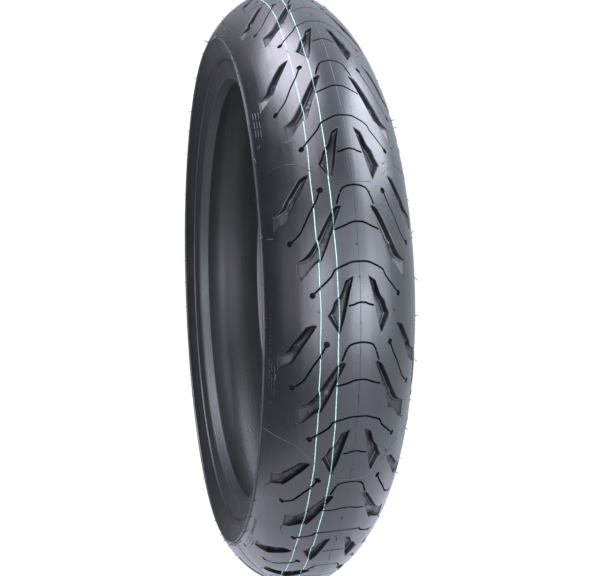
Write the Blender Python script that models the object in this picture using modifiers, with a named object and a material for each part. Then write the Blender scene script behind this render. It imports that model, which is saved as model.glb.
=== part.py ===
"""A radial motorcycle front tyre, built up from the layers it is made of.

The origin is the wheel centre. +Y is the spin axis, +Z is up, and "left" is the -Y side.
Every layer is a turned ring. Its section is drawn in the (radius, y) plane and swept round
the axis, with the same number of steps in each ring, so that neighbours nest.
"""

import math

import bpy

# Driving dimensions, in metres and degrees
OUTER_RADIUS = 0.300  # crown of the tread
CROWN_ARC = (0.041, 20.5)  # each arc: its radius, and the slope where the next one takes over
FLANK_ARC = (0.081, 54.0)
SHOULDER_ARC = (0.066, 64.5)
EDGE_ARC = (0.0120, 90.0)  # ends at the widest point of the section

BEAD_RADIUS = 0.2154  # bore at the toe
BEAD_HALF_SPREAD = 0.0460  # to the flat side of the bead, which seats on the rim flange
BEAD_BASE_WIDTH = 0.0130  # from that flat side to the toe
HEEL_RISE = 0.0012  # radii of the heel, the flat side and the rim line, above the bore
FACE_BOTTOM_RISE = 0.0032
FACE_TOP_RISE = 0.0066
RIM_LINE_RISE = 0.0193
HEEL_SETBACK = 0.0022
RIM_LINE_OVERHANG = 0.0031
WALL_BOW = 0.0012  # how far the side wall stands out of a straight line from its widest point
SEAT_THICKNESS = 0.0020  # chafer rubber under the turned-up ply, at the toe's radius

CAP_THICKNESS = 0.0052
BASE_THICKNESS = 0.0009
BELT_THICKNESS = 0.0009
PLY_THICKNESS = 0.0007
LINER_THICKNESS = 0.0008
WALL_THICKNESS = 0.0021
CORE_DIAMETER = 0.0050
CORE_SIDES = 6
FILLER_TIP_WIDTH = 0.0006
GAP = 0.0003  # between any two neighbouring layers

COMPOUND_SPLIT = 0.0305  # along the surface from the crown line to the shoulder compound
BELT_EDGE = 0.058
BASE_EDGE = 0.065
TREAD_EDGE = 0.0785
CHAFER_HEIGHT = 0.0028  # above the rim line
FILLER_HEIGHT = 0.0055
TURN_UP_HEIGHT = 0.0110
TOE_WRAP = 0.0070  # how far the chafer climbs inside the toe

STRIPE_WIDTH = 0.0010
STRIPE_THICKNESS = 0.00025
INNER_STRIPE = 0.0168  # along the surface from the crown line
OUTER_STRIPE = 0.0295

STEPS = 24
SURFACE_STEP = 0.0155  # longest facet along the section
HOOK_STEPS = 6

RUBBER = (0.045, 0.045, 0.050)


# The outer surface

ARCS = (CROWN_ARC, FLANK_ARC, SHOULDER_ARC, EDGE_ARC)


def walk_arcs(distance):
    """(y, radius, slope) on the outer surface, this far along it from the crown line."""
    y, radius, slope = 0.0, OUTER_RADIUS, 0.0
    for arc_radius, end_angle in ARCS:
        length = arc_radius * (math.radians(end_angle) - slope)
        after = slope + min(distance, length) / arc_radius
        y += arc_radius * (math.sin(after) - math.sin(slope))
        radius -= arc_radius * (math.cos(slope) - math.cos(after))
        slope = after
        distance -= length
        if distance <= 0:
            break
    return y, radius, slope


def length_to_widest():
    total, slope = 0.0, 0.0
    for arc_radius, end_angle in ARCS:
        total += arc_radius * (math.radians(end_angle) - slope)
        slope = math.radians(end_angle)
    return total


def spread(start, end):
    """Evenly spaced values from start to end, no further apart than SURFACE_STEP."""
    count = max(1, math.ceil(abs(end - start) / SURFACE_STEP - 0.01))
    return [start + (end - start) * i / count for i in range(count + 1)]


def stations(marks):
    """Every mark, and the values between them that a facet needs. All layers bend at the same ones."""
    found = [marks[0]]
    for start, end in zip(marks, marks[1:]):
        found += spread(start, end)[1:]
    return found


WIDEST = length_to_widest()
WIDEST_HALF_WIDTH, WIDEST_RADIUS, _ = walk_arcs(WIDEST)
FACE_TOP = BEAD_RADIUS + FACE_TOP_RISE
RIM_LINE_RADIUS = BEAD_RADIUS + RIM_LINE_RISE
RIM_LINE_HALF_WIDTH = BEAD_HALF_SPREAD + RIM_LINE_OVERHANG
CHAFER_TOP = RIM_LINE_RADIUS + CHAFER_HEIGHT
FILLER_TIP = RIM_LINE_RADIUS + FILLER_HEIGHT
TURN_UP_END = RIM_LINE_RADIUS + TURN_UP_HEIGHT
UPPER_STATIONS = stations([0.0, COMPOUND_SPLIT, BELT_EDGE, BASE_EDGE, TREAD_EDGE, WIDEST])
LOWER_STATIONS = stations([WIDEST_RADIUS, TURN_UP_END, CHAFER_TOP, RIM_LINE_RADIUS, FACE_TOP])


def blend(value, start, end, at_start, at_end):
    """at_start up to start, at_end from end, and a straight line between them."""
    share = min(1.0, max(0.0, (value - start) / (end - start)))
    return at_start + (at_end - at_start) * share


def bowed_wall(radius):
    """y of the side wall, bowed from its widest point down to the rim line, and of the bead below it."""
    if radius < RIM_LINE_RADIUS:
        return blend(radius, FACE_TOP, RIM_LINE_RADIUS, BEAD_HALF_SPREAD, RIM_LINE_HALF_WIDTH)
    share = (WIDEST_RADIUS - radius) / (WIDEST_RADIUS - RIM_LINE_RADIUS)
    straight = WIDEST_HALF_WIDTH + (RIM_LINE_HALF_WIDTH - WIDEST_HALF_WIDTH) * share
    return straight + 4 * WALL_BOW * share * (1 - share)


def lower_wall(radius):
    """y of the faceted outer surface at this radius, below the widest point."""
    for high, low in zip(LOWER_STATIONS, LOWER_STATIONS[1:]):
        if radius >= low:
            share = (high - radius) / (high - low)
            return bowed_wall(high) * (1 - share) + bowed_wall(low) * share
    return BEAD_HALF_SPREAD


def upper_point(distance, depth):
    """(radius, y) at this depth under the outer surface, above the widest point."""
    y, radius, slope = walk_arcs(distance)
    return radius - depth * math.cos(slope), y - depth * math.sin(slope)


def lower_point(radius, depth):
    """(radius, y) below the widest point, where layers lie side by side along the spin axis."""
    return radius, lower_wall(radius) - depth


# How deep each layer lies

BASE_DEPTH = CAP_THICKNESS + GAP
BELT_DEPTH = BASE_DEPTH + BASE_THICKNESS + GAP
CROWN_PLY_DEPTH = BELT_DEPTH + BELT_THICKNESS + GAP
WALL_PLY_DEPTH = WALL_THICKNESS + GAP
TURN_UP_DEPTH = WALL_PLY_DEPTH + PLY_THICKNESS + GAP
FILLER_DEPTH = TURN_UP_DEPTH + PLY_THICKNESS + GAP

CORE_HALF_WIDTH = BEAD_HALF_SPREAD - FILLER_DEPTH - CORE_DIAMETER / 2
CORE_RADIUS = BEAD_RADIUS + SEAT_THICKNESS + 2 * GAP + PLY_THICKNESS + CORE_DIAMETER / 2
CORE_TOP = CORE_RADIUS + CORE_DIAMETER / 2
FILLER_BASE_WIDTH = CORE_DIAMETER + lower_wall(CORE_TOP) - BEAD_HALF_SPREAD


def outer_ply_depth(distance):
    """Depth of the outer ply under the surface above the widest point."""
    return blend(distance, BASE_EDGE, TREAD_EDGE, CROWN_PLY_DEPTH, WALL_PLY_DEPTH)


def filler_width(radius):
    return blend(radius, CORE_TOP, FILLER_TIP, FILLER_BASE_WIDTH, FILLER_TIP_WIDTH)


def inner_ply_depth(radius):
    """Depth of the inner ply below the widest point, where the bead parts it from the outer one."""
    if radius >= TURN_UP_END:
        return blend(radius, TURN_UP_END, WIDEST_RADIUS, FILLER_DEPTH, TURN_UP_DEPTH)
    past_turn_up = FILLER_DEPTH + FILLER_TIP_WIDTH + GAP
    if radius >= FILLER_TIP:
        return blend(radius, FILLER_TIP, TURN_UP_END, past_turn_up, FILLER_DEPTH)
    return FILLER_DEPTH + filler_width(radius) + GAP


# Sections, as lists of (radius, y) points for the right side


def upper_line(start, end, depth_at):
    """Along the surface between two distances from the crown line, at a depth that may vary."""
    between = [s for s in UPPER_STATIONS if start < s < end]
    return [upper_point(s, depth_at(s)) for s in [start, *between, end]]


def lower_line(start, end, depth_at, stops=()):
    """Down the wall between two radii, with a point at each stop as well."""
    between = [r for r in {*LOWER_STATIONS, *stops} if end < r < start]
    return [lower_point(r, depth_at(r)) for r in [start, *sorted(between, reverse=True), end]]


def mirrored(points):
    """The same line on the left side, run the other way."""
    return [(radius, -y) for radius, y in reversed(points)]


def both_sides(line):
    """A line from the crown outwards, made to run from the left end over the crown to the right end."""
    return mirrored(line[1:]) + line


def band(outer, inner):
    """The closed section between two lines that run the same way."""
    return outer + inner[::-1]


def crown_band(end, depth, thickness):
    outer = upper_line(0.0, end, lambda s: depth)
    inner = upper_line(0.0, end, lambda s: depth + thickness)
    return band(both_sides(outer), both_sides(inner))


def shoulder_section():
    """Tread rubber outside the compound split, over the base and the belt edge, down to the tread edge."""
    start = COMPOUND_SPLIT + GAP / 2
    past_base = BASE_EDGE + GAP
    outer = upper_line(start, TREAD_EDGE, lambda s: 0.0)
    over_base = upper_line(start, past_base, lambda s: CAP_THICKNESS)
    over_ply = upper_line(past_base, TREAD_EDGE, lambda s: outer_ply_depth(s) - GAP)
    return band(outer, over_base + over_ply)


def side_wall_section():
    start = TREAD_EDGE + GAP
    end = CHAFER_TOP + GAP / 2
    outer = upper_line(start, WIDEST, lambda s: 0.0)
    outer += lower_line(WIDEST_RADIUS, end, lambda r: 0.0)[1:]
    inner = upper_line(start, WIDEST, lambda s: WALL_THICKNESS)
    inner += lower_line(WIDEST_RADIUS, end, lambda r: WALL_THICKNESS)[1:]
    return band(outer, inner)


def outer_ply_line(extra):
    """The floating ply: over the crown, and down outside the turn-up to beside the bead core."""
    above = upper_line(0.0, WIDEST, lambda s: outer_ply_depth(s) + extra)
    below = lower_line(WIDEST_RADIUS, FACE_TOP, lambda r: WALL_PLY_DEPTH + extra)
    return above + below[1:]


def hook(clearance):
    """Round the bead core from its inner side, under it, to its outer side."""
    reach = CORE_DIAMETER / 2 + clearance
    points = []
    for i in range(HOOK_STEPS + 1):
        angle = math.pi * i / HOOK_STEPS
        points.append(
            (CORE_RADIUS - reach * math.sin(angle), CORE_HALF_WIDTH - reach * math.cos(angle))
        )
    return points


def inner_ply_line(extra):
    """The turned-up ply: over the crown, down inside the bead, round its core and up outside the filler."""
    past_outer = PLY_THICKNESS + GAP + extra
    line = upper_line(0.0, WIDEST, lambda s: outer_ply_depth(s) + past_outer)
    line += lower_line(
        WIDEST_RADIUS, CORE_TOP, lambda r: inner_ply_depth(r) + extra, [FILLER_TIP]
    )[1:]
    line += hook(GAP + extra)
    line += lower_line(
        TURN_UP_END, CORE_TOP, lambda r: TURN_UP_DEPTH + PLY_THICKNESS - extra
    )[::-1]
    return line


def liner_section():
    end = BEAD_RADIUS + TOE_WRAP + GAP

    def line(extra):
        past_plies = 2 * (PLY_THICKNESS + GAP) + extra
        above = upper_line(0.0, WIDEST, lambda s: outer_ply_depth(s) + past_plies)
        past_inner = PLY_THICKNESS + GAP + extra
        below = lower_line(
            WIDEST_RADIUS, CORE_TOP, lambda r: inner_ply_depth(r) + past_inner, [FILLER_TIP]
        )
        beside_core = [(end, below[-1][1])]
        return both_sides(above + below[1:] + beside_core)

    return band(line(0.0), line(LINER_THICKNESS))


def filler_section():
    """A rubber wedge that stands on the bead core."""
    base = CORE_TOP + GAP
    outer = lower_line(FILLER_TIP, base, lambda r: FILLER_DEPTH)
    inner = lower_line(FILLER_TIP, base, lambda r: FILLER_DEPTH + filler_width(r))
    return band(outer, inner)


def core_section():
    """A bundle of steel wires, wound to a hexagon."""
    points = []
    for i in range(CORE_SIDES):
        angle = -2 * math.pi * i / CORE_SIDES
        points.append(
            (
                CORE_RADIUS + CORE_DIAMETER / 2 * math.sin(angle),
                CORE_HALF_WIDTH + CORE_DIAMETER / 2 * math.cos(angle),
            )
        )
    return points


def chafer_section():
    """The hard rubber that wraps the bead from the rim line round the heel and seat to inside the toe."""
    end = CHAFER_TOP - GAP / 2
    past_ply = PLY_THICKNESS + 2 * GAP
    toe = BEAD_HALF_SPREAD - BEAD_BASE_WIDTH
    wrap_top = BEAD_RADIUS + TOE_WRAP
    ply_foot = FACE_TOP - GAP
    inner = hook(past_ply)
    inner.insert(0, (wrap_top, inner[0][1]))
    inner[-1] = (ply_foot, BEAD_HALF_SPREAD - WALL_PLY_DEPTH - PLY_THICKNESS)
    inner.append((ply_foot, BEAD_HALF_SPREAD - WALL_THICKNESS))
    inner += lower_line(end, FACE_TOP, lambda r: WALL_THICKNESS)[::-1]
    outer = lower_line(end, FACE_TOP, lambda r: 0.0)
    outer += [
        (BEAD_RADIUS + FACE_BOTTOM_RISE, BEAD_HALF_SPREAD),
        (BEAD_RADIUS + HEEL_RISE, BEAD_HALF_SPREAD - HEEL_SETBACK),
        (BEAD_RADIUS, toe + PLY_THICKNESS),
        (BEAD_RADIUS + PLY_THICKNESS, toe),
        (wrap_top, inner[0][1] - LINER_THICKNESS),
    ]
    return outer + inner


def stripe_section(distance):
    """A thin coloured line laid on the tread."""
    half = STRIPE_WIDTH / 2
    outer = [upper_point(distance + x, -GAP - STRIPE_THICKNESS) for x in (-half, half)]
    inner = [upper_point(distance + x, -GAP) for x in (-half, half)]
    return band(outer, inner)


# Building


def clear_scene():
    for thing in list(bpy.data.objects):
        bpy.data.objects.remove(thing, do_unlink=True)


def material(name, colour, roughness, metallic=0.0):
    made = bpy.data.materials.new(name)
    made.use_nodes = True
    shader = made.node_tree.nodes["Principled BSDF"]
    shader.inputs["Base Color"].default_value = (*colour, 1.0)
    shader.inputs["Roughness"].default_value = roughness
    shader.inputs["Metallic"].default_value = metallic
    return made


def facing_out(section):
    """The section in the order that makes the swept faces point outwards."""
    area = 0.0
    for (x0, y0), (x1, y1) in zip(section, section[1:] + section[:1]):
        area += x0 * y1 - x1 * y0
    return section if area < 0 else section[::-1]


def ring(name, section, finish, collection, parent):
    """Sweeps a closed (radius, y) section round the spin axis."""
    loop = facing_out(section)
    count = len(loop)
    mesh = bpy.data.meshes.new(name)
    edges = [(i, (i + 1) % count) for i in range(count)]
    mesh.from_pydata([(radius, y, 0.0) for radius, y in loop], edges, [])
    mesh.materials.append(finish)
    made = bpy.data.objects.new(name, mesh)
    collection.objects.link(made)
    made.parent = parent
    sweep = made.modifiers.new("Sweep round the axis", "SCREW")
    sweep.axis = "Y"
    sweep.angle = 2 * math.pi
    sweep.steps = STEPS
    sweep.render_steps = STEPS
    sweep.use_merge_vertices = True
    sweep.merge_threshold = 0.00001
    sweep.use_smooth_shade = True
    return made


def build():
    clear_scene()
    tyre = bpy.data.collections.new("motorcycle_tyre")
    bpy.context.scene.collection.children.link(tyre)
    axis = bpy.data.objects.new("wheel_centre", None)
    tyre.objects.link(axis)

    tread = material("silica tread rubber", RUBBER, 0.36)
    base = material("tread base rubber", (0.030, 0.030, 0.032), 0.6)
    belt = material("rubber coated steel cord", (0.32, 0.27, 0.19), 0.45, 0.6)
    ply = material("rubber coated textile cord", (0.30, 0.17, 0.09), 0.75)
    liner = material("inner liner rubber", (0.040, 0.043, 0.042), 0.6)
    wall = material("side wall rubber", RUBBER, 0.42)
    chafer = material("chafer rubber", (0.035, 0.035, 0.040), 0.38)
    filler = material("bead filler rubber", (0.060, 0.058, 0.055), 0.5)
    steel = material("bronzed bead wire", (0.55, 0.42, 0.25), 0.35, 1.0)
    marking = material("marking stripe paint", (0.45, 0.75, 0.72), 0.55)

    def turn(name, section, finish):
        return ring(name, section, finish, tyre, axis)

    def turn_pair(name, section, finish):
        turn(name + "_left", [(radius, -y) for radius, y in section], finish)
        turn(name + "_right", section, finish)

    cap_end = COMPOUND_SPLIT - GAP / 2
    turn("tread_cap_center", crown_band(cap_end, 0.0, CAP_THICKNESS), tread)
    turn_pair("tread_shoulder", shoulder_section(), tread)
    turn("tread_base", crown_band(BASE_EDGE, BASE_DEPTH, BASE_THICKNESS), base)
    turn("zero_degree_belt", crown_band(BELT_EDGE, BELT_DEPTH, BELT_THICKNESS), belt)
    outer_ply = band(both_sides(outer_ply_line(0.0)), both_sides(outer_ply_line(PLY_THICKNESS)))
    turn("carcass_ply_outer", outer_ply, ply)
    inner_ply = band(both_sides(inner_ply_line(0.0)), both_sides(inner_ply_line(PLY_THICKNESS)))
    turn("carcass_ply_inner", inner_ply, ply)
    turn("inner_liner", liner_section(), liner)
    turn_pair("sidewall", side_wall_section(), wall)
    turn_pair("chafer", chafer_section(), chafer)
    turn_pair("bead_filler", filler_section(), filler)
    turn_pair("bead_core", core_section(), steel)
    turn("marking_stripe_inner", mirrored(stripe_section(INNER_STRIPE)), marking)
    turn("marking_stripe_outer", mirrored(stripe_section(OUTER_STRIPE)), marking)


build()
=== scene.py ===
"""Looks for a radial motorcycle front tyre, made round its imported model.

The spin axis is Y and the origin is the wheel centre. A place on the tread is given by its
distance from the crown line, measured along the section ("across"), and by its distance along
the crown ("along"), which grows downwards at the front. Lengths in the tables are in mm.
"""

import math

import bmesh
import bpy
import numpy as np
from mathutils import Matrix, Vector
from mathutils.bvhtree import BVHTree
from mathutils.geometry import delaunay_2d_cdt


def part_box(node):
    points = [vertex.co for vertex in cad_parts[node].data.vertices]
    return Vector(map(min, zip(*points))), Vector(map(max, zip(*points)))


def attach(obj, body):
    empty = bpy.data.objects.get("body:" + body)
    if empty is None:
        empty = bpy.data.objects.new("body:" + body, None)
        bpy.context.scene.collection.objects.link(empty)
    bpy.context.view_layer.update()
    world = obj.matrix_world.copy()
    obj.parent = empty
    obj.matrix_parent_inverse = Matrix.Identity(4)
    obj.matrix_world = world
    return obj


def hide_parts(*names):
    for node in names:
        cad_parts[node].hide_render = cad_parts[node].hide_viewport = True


bl_info = {
    "name": "Motorcycle Tyre",
    "version": (1, 0, 0),
    "blender": (4, 5, 0),
    "location": "3D View > Sidebar > Tyre",
    "description": "Builds a radial motorcycle front tyre with its grooved tread and moulded marks",
    "category": "Add Mesh",
}

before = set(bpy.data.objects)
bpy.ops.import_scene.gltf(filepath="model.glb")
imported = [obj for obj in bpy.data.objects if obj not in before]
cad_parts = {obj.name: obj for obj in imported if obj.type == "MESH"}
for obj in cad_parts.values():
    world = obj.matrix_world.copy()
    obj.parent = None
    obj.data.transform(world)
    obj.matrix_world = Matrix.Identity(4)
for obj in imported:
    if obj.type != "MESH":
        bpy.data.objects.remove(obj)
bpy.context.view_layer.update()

MM = 0.001
OUTER_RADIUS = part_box("tread_cap_center")[1].x
CROWN_LENGTH = 2 * math.pi * OUTER_RADIUS / MM
CAD_FACETS = 24
RING_STEPS = 204

# Each arc of the outer surface: its radius in mm, and the slope at its far end in degrees
ARCS = ((41.0, 20.5), (81.0, 54.0), (66.0, 64.5), (12.0, 90.0))
TREAD_EDGE = 78.5  # how far across the tread reaches
TREAD_THICKNESS = 5.2
WALL_THICKNESS = 2.1
WALL_BOW = 1.2  # how far the side wall bows out of a straight line
RIM_LINE = (234.7, 49.1)  # radius and half width
FACE_TOP = (222.0, 46.0)  # the same, where the flat side of the bead begins
CHAFER_TOP = 237.5  # radius at which the side wall takes over from the chafer
PITCH_PHASE = math.radians(-4.979)  # where the first pitch begins, downwards from the front
SLOT_DEPTH = 3.8
ARCH_SLOT_DEPTH = 4.0
SIDE_SLOT_DEPTH = 3.4
PIN_DOME = 0.2  # how far the floor of a pin domes up, as a share of the slot's depth
SEAM_RADIUS = 0.0003
MARK_RADIUS = 0.0004


# The surface that the pattern lies on


def section_at(across):
    """Half width, radius and slope of the section at these distances from the crown line."""
    left = np.abs(np.asarray(across, float))
    y, radius, slope = np.zeros_like(left), np.full_like(left, OUTER_RADIUS / MM), np.zeros_like(left)
    start = 0.0
    for arc_radius, end in ARCS:
        end = math.radians(end)
        turned = start + np.clip(left / arc_radius, 0.0, end - start)
        y += arc_radius * (np.sin(turned) - math.sin(start))
        radius -= arc_radius * (math.cos(start) - np.cos(turned))
        slope = np.where(left > 0, turned, slope)
        left = left - arc_radius * (end - start)
        start = end
    return y, radius, slope


def on_tyre(across, along, depth=0.0):
    """Points in metres, this deep under the smooth surface."""
    y, radius, slope = section_at(across)
    angle = np.asarray(along, float) * MM / OUTER_RADIUS
    radius = radius - depth * np.cos(slope)
    y = np.where(np.asarray(across) < 0, -1, 1) * (y - depth * np.sin(slope))
    return np.stack([radius * np.cos(angle), y + 0 * angle, -radius * np.sin(angle)], -1) * MM


def normal_at(across, along):
    """Directions straight out of the smooth surface."""
    _, _, slope = section_at(across)
    angle = np.asarray(along, float) * MM / OUTER_RADIUS
    side = np.where(np.asarray(across) < 0, -1, 1)
    out = np.cos(slope)
    return np.stack([out * np.cos(angle), side * np.sin(slope) + 0 * angle, -out * np.sin(angle)], -1)


def lower_wall(radius):
    """Half width of the bowed side wall below its widest point, and of the bead under the rim line."""
    widest_y, widest_radius, _ = section_at(1000.0)
    share = (widest_radius - radius) / (widest_radius - RIM_LINE[0])
    bowed = widest_y + (RIM_LINE[1] - widest_y) * share + 4 * WALL_BOW * share * (1 - share)
    bead = np.interp(radius, (FACE_TOP[0], RIM_LINE[0]), (FACE_TOP[1], RIM_LINE[1]))
    return np.where(radius < RIM_LINE[0], bead, bowed)


# The tread pattern. Each row of a pocket is one corner of its outline, the floor corner under it,
# and 1 where the outline turns sharply. Everything is for the right half and is mirrored.

DIAMOND = (
    (5.0, 9.0, 8.2, 13.4, 1),
    (11.4, 12.8, 10.4, 14.9, 1),
    (12.5, 16.0, 11.2, 17.2, 0),
    (15.5, 23.2, 13.9, 24.6, 0),
    (19.6, 27.5, 17.2, 29.2, 0),
    (21.0, 32.0, 19.0, 33.6, 0),
    (24.5, 38.0, 21.0, 36.2, 1),
    (15.8, 51.5, 15.9, 46.4, 1),
    (12.3, 40.5, 14.6, 40.3, 0),
    (10.0, 30.0, 12.3, 29.6, 0),
    (8.0, 21.0, 10.3, 20.9, 0),
)
LONG_BLADE = (
    (10.7, 70.7, 13.1, 73.6, 1),
    (13.0, 70.0, 13.9, 73.0, 1),
    (17.6, 72.4, 15.9, 75.0, 0),
    (18.8, 74.4, 16.9, 76.4, 0),
    (25.2, 84.9, 22.2, 85.4, 0),
    (31.5, 95.4, 28.2, 95.9, 0),
    (38.0, 103.9, 33.8, 104.3, 0),
    (42.3, 106.9, 38.8, 108.2, 0),
    (45.8, 108.4, 44.7, 109.8, 1),
    (45.9, 123.7, 44.7, 121.9, 1),
    (43.0, 122.9, 41.8, 120.4, 0),
    (39.5, 119.9, 38.6, 117.2, 0),
    (35.0, 115.0, 35.0, 112.4, 0),
    (30.5, 110.6, 31.0, 108.6, 1),
    (27.0, 109.6, 28.4, 107.2, 1),
    (22.0, 98.4, 24.0, 97.8, 0),
    (19.5, 92.0, 21.4, 91.4, 0),
    (17.5, 87.5, 19.3, 86.9, 0),
    (15.5, 82.0, 17.2, 81.3, 0),
)
SHORT_BLADE = (
    (31.3, 44.3, 35.0, 48.0, 1),
    (34.0, 44.0, 36.0, 47.2, 1),
    (39.8, 45.8, 38.9, 48.9, 0),
    (41.5, 48.0, 40.0, 50.0, 0),
    (53.5, 62.5, 51.7, 64.2, 0),
    (54.5, 65.0, 53.0, 66.3, 0),
    (57.0, 67.0, 56.2, 69.0, 0),
    (63.9, 70.4, 62.8, 71.8, 1),
    (63.6, 83.1, 62.6, 81.4, 1),
    (57.3, 79.0, 57.2, 76.8, 0),
    (51.6, 76.0, 52.6, 73.4, 1),
    (49.0, 72.6, 50.9, 70.9, 0),
    (42.5, 62.0, 44.7, 60.4, 0),
    (36.6, 53.2, 38.6, 52.0, 0),
)
# Paths of the thin slots, and the radius of the round pin at each end, or 0
ARCH_SLOT = (
    ((0, -0.3), (6, 0), (11, 1.9), (16, 4), (18.5, 5.5), (20.5, 9.5), (31, 19.5), (34.5, 22.8)),
    0.0,
    2.3,
)
SHORT_SLOT = (((0, 27.9), (3, 28.3), (5.5, 29.5), (9.0, 30.3)), 0.0, 0.0)
BRIDGE_SLOT = (((0, 55.8), (5.5, 56.6), (8.6, 57.9), (10.6, 60.6), (13.9, 69.3)), 0.0, 0.0)
LOW_SLOT = (((0, 82.6), (4, 82.9), (10, 85.4), (16.45, 87.5)), 0.0, 0.0)
SIDE_SLOT = (
    ((24.6, 57.8), (29.2, 67), (33.8, 74), (38.3, 82), (41.3, 87), (43.3, 89), (47.5, 92.5), (50.6, 94.4)),
    2.4,
    2.4,
)
# A line between two pitches that no groove crosses
PITCH_LINE = (
    (0, -13),
    (18, -9.5),
    (24, 2),
    (27.5, 7),
    (31, 9.5),
    (34.5, 12),
    (40, 15.5),
    (46, 18.5),
    (52, 18),
    (TREAD_EDGE, 14),
)

# A groove's wall from its lip down to its foot, as (share of its width, share of its depth, how
# matt it is and how far its colour is darkened as painted shade)
POCKET_WALL = (
    (0.08, 0.03, 0.0),
    (0.16, 0.12, 0.0),
    (0.22, 0.26, 1.0),
    (0.60, 0.78, 1.0),
    (0.68, 0.83, 0.0),
    (0.80, 0.86, 0.0),
    (0.88, 0.95, 1.0),
    (1.0, 1.0, 0.8),
)
# The pocket floors take this share of the matt and the painted shade. The slots take nearly all of it, so
# their walls and floors are painted dark.
POCKET_FLOOR_SHADE_AND_MATT = 0.3
SLOT_WALL = ((0.3, 0.04, 0.1), (0.6, 0.14, 1.0), (1.0, 1.0, 1.0))


def lerp(value, start, end, at_start, at_end):
    """Goes from one value to the other between these two places, and stays level beyond them."""
    return np.interp(value, (start, end), (at_start, at_end))


def along_curve(rows, step, closed=True):
    """Rows sampled along a smooth curve through them, with a straight end at each corner row."""
    rows = np.array(rows, float)
    count = len(rows)
    found = []
    for i in range(count if closed else count - 1):
        before, a, b, after = rows[i - 1], rows[i], rows[(i + 1) % count], rows[(i + 2) % count]
        length = math.hypot(*(b - a)[:2])
        straight_start = a[-1] or (not closed and i == 0)
        straight_end = b[-1] or (not closed and i == count - 2)
        chord = (b - a) / length
        leave = chord if straight_start else (b - before) / (length + math.hypot(*(a - before)[:2]))
        arrive = chord if straight_end else (after - a) / (length + math.hypot(*(after - b)[:2]))
        steps = max(1, round(length / step))
        for j in range(steps):
            t = j / steps
            found.append(
                (2 * t**3 - 3 * t**2 + 1) * a
                + (t**3 - 2 * t**2 + t) * length * leave
                + (3 * t**2 - 2 * t**3) * b
                + (t**3 - t**2) * length * arrive
            )
    if not closed:
        found.append(rows[-1])
    return np.array(found)


def slot_outline(path, width, start_pin, end_pin):
    """The outline of a thin slot, with a round end or a round pin at each end."""
    path = np.array(path, float)
    ahead = np.gradient(path, axis=0)
    ahead /= np.hypot(*ahead.T)[:, None]
    side = np.stack([-ahead[:, 1], ahead[:, 0]], 1) * width / 2

    def end_cap(centre, out, pin):
        radius = pin or width / 2
        half = math.pi - math.asin(width / 2 / radius) if pin else math.pi / 2
        steps = 13 if pin else 2
        facing = math.atan2(out[1], out[0])
        turns = [facing + half - 2 * half * i / steps for i in range(steps + 1)]
        return [centre + radius * np.array([math.cos(t), math.sin(t)]) for t in turns]

    clear = [
        math.hypot(*(p - path[0])) > start_pin + 0.4 and math.hypot(*(p - path[-1])) > end_pin + 0.4
        for p in path
    ]
    left = [p + q for p, q, keep in zip(path, side, clear) if keep]
    right = [p - q for p, q, keep in zip(path, side, clear) if keep]
    loop = left + end_cap(path[-1], ahead[-1], end_pin)
    loop += right[::-1] + end_cap(path[0], -ahead[0], start_pin)
    return np.array(loop)


def inset(loop, distance):
    """The closed loop moved inwards by this distance."""
    nxt, before = np.roll(loop, -1, 0) - loop, loop - np.roll(loop, 1, 0)
    nxt /= np.hypot(*nxt.T)[:, None]
    before /= np.hypot(*before.T)[:, None]
    area = np.sum(loop[:, 0] * np.roll(loop[:, 1], -1) - loop[:, 1] * np.roll(loop[:, 0], -1))
    turn = np.sign(area)
    normal = turn * np.stack([-(nxt + before)[:, 1], (nxt + before)[:, 0]], 1)
    size = np.hypot(*normal.T)[:, None]
    return loop + normal / np.maximum(size, 0.3) * distance * np.minimum(2 / np.maximum(size, 0.3), 1.5)


def inside(points, loop):
    """Which of the points lie inside the closed loop."""
    x, y = points[:, 0][:, None], points[:, 1][:, None]
    x0, y0 = loop.T
    x1, y1 = np.roll(loop, -1, 0).T
    crosses = (y0 > y) != (y1 > y)
    with np.errstate(divide="ignore", invalid="ignore"):
        at = x0 + (y - y0) / (y1 - y0) * (x1 - x0)
    return (np.sum(crosses & (x < at), 1) % 2).astype(bool)


def near(points, loop, distance):
    """Which of the points lie this near to the loop's edges."""
    a, b = loop, np.roll(loop, -1, 0)
    along = b - a
    share = np.einsum("pek,ek->pe", points[:, None] - a, along) / np.sum(along**2, 1)
    foot = a + np.clip(share, 0, 1)[..., None] * along
    return np.min(np.hypot(*np.moveaxis(points[:, None] - foot, 2, 0)), 1) < distance


def filled(loops, inner):
    """Triangles over the first loop less the others, using the inner points too. Indices count
    through the loops in turn and then the inner points."""
    points = np.concatenate([*loops, inner]) if len(inner) else np.concatenate(loops)
    edges, first = [], 0
    for loop in loops:
        count = len(loop)
        edges += [(first + i, first + (i + 1) % count) for i in range(count)]
        first += count
    _, _, faces, origin, _, _ = delaunay_2d_cdt([Vector(p) for p in points], edges, [], 0, 1e-7)
    faces = np.array([[origin[v][0] for v in face] for face in faces])
    centres = points[faces].mean(1)
    keep = inside(centres, loops[0])
    for loop in loops[1:]:
        keep &= ~inside(centres, loop)
    faces = faces[keep]
    a, b, c = points[faces[:, 0]], points[faces[:, 1]], points[faces[:, 2]]
    area = np.cross(b - a, c - a)
    faces[area < 0] = faces[area < 0][:, ::-1]
    return faces[np.abs(area) > 1e-9]


# How deep each pocket's floor lies, in mm. The blades run out to nothing on the shoulder, and a
# low bar crosses each of them.


def diamond_floor(p, sizes):
    return sizes.groove_depth / MM * lerp(p[:, 1], 12, 20, 0.62, 1.0) * lerp(p[:, 1], 40, 47, 1.0, 0.86)


def long_blade_floor(p, sizes):
    share = np.interp(p[:, 0], (12, 17, 36.4, 40.0, 41.5, 45.8), (0.82, 1.0, 1.0, 0.52, 0.46, 0.06))
    bar = np.exp(-(((p[:, 1] - 96.5) / 1.6) ** 4)) * (p[:, 0] < 30)
    return sizes.groove_depth / MM * share * (1 - 0.28 * bar)


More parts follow.
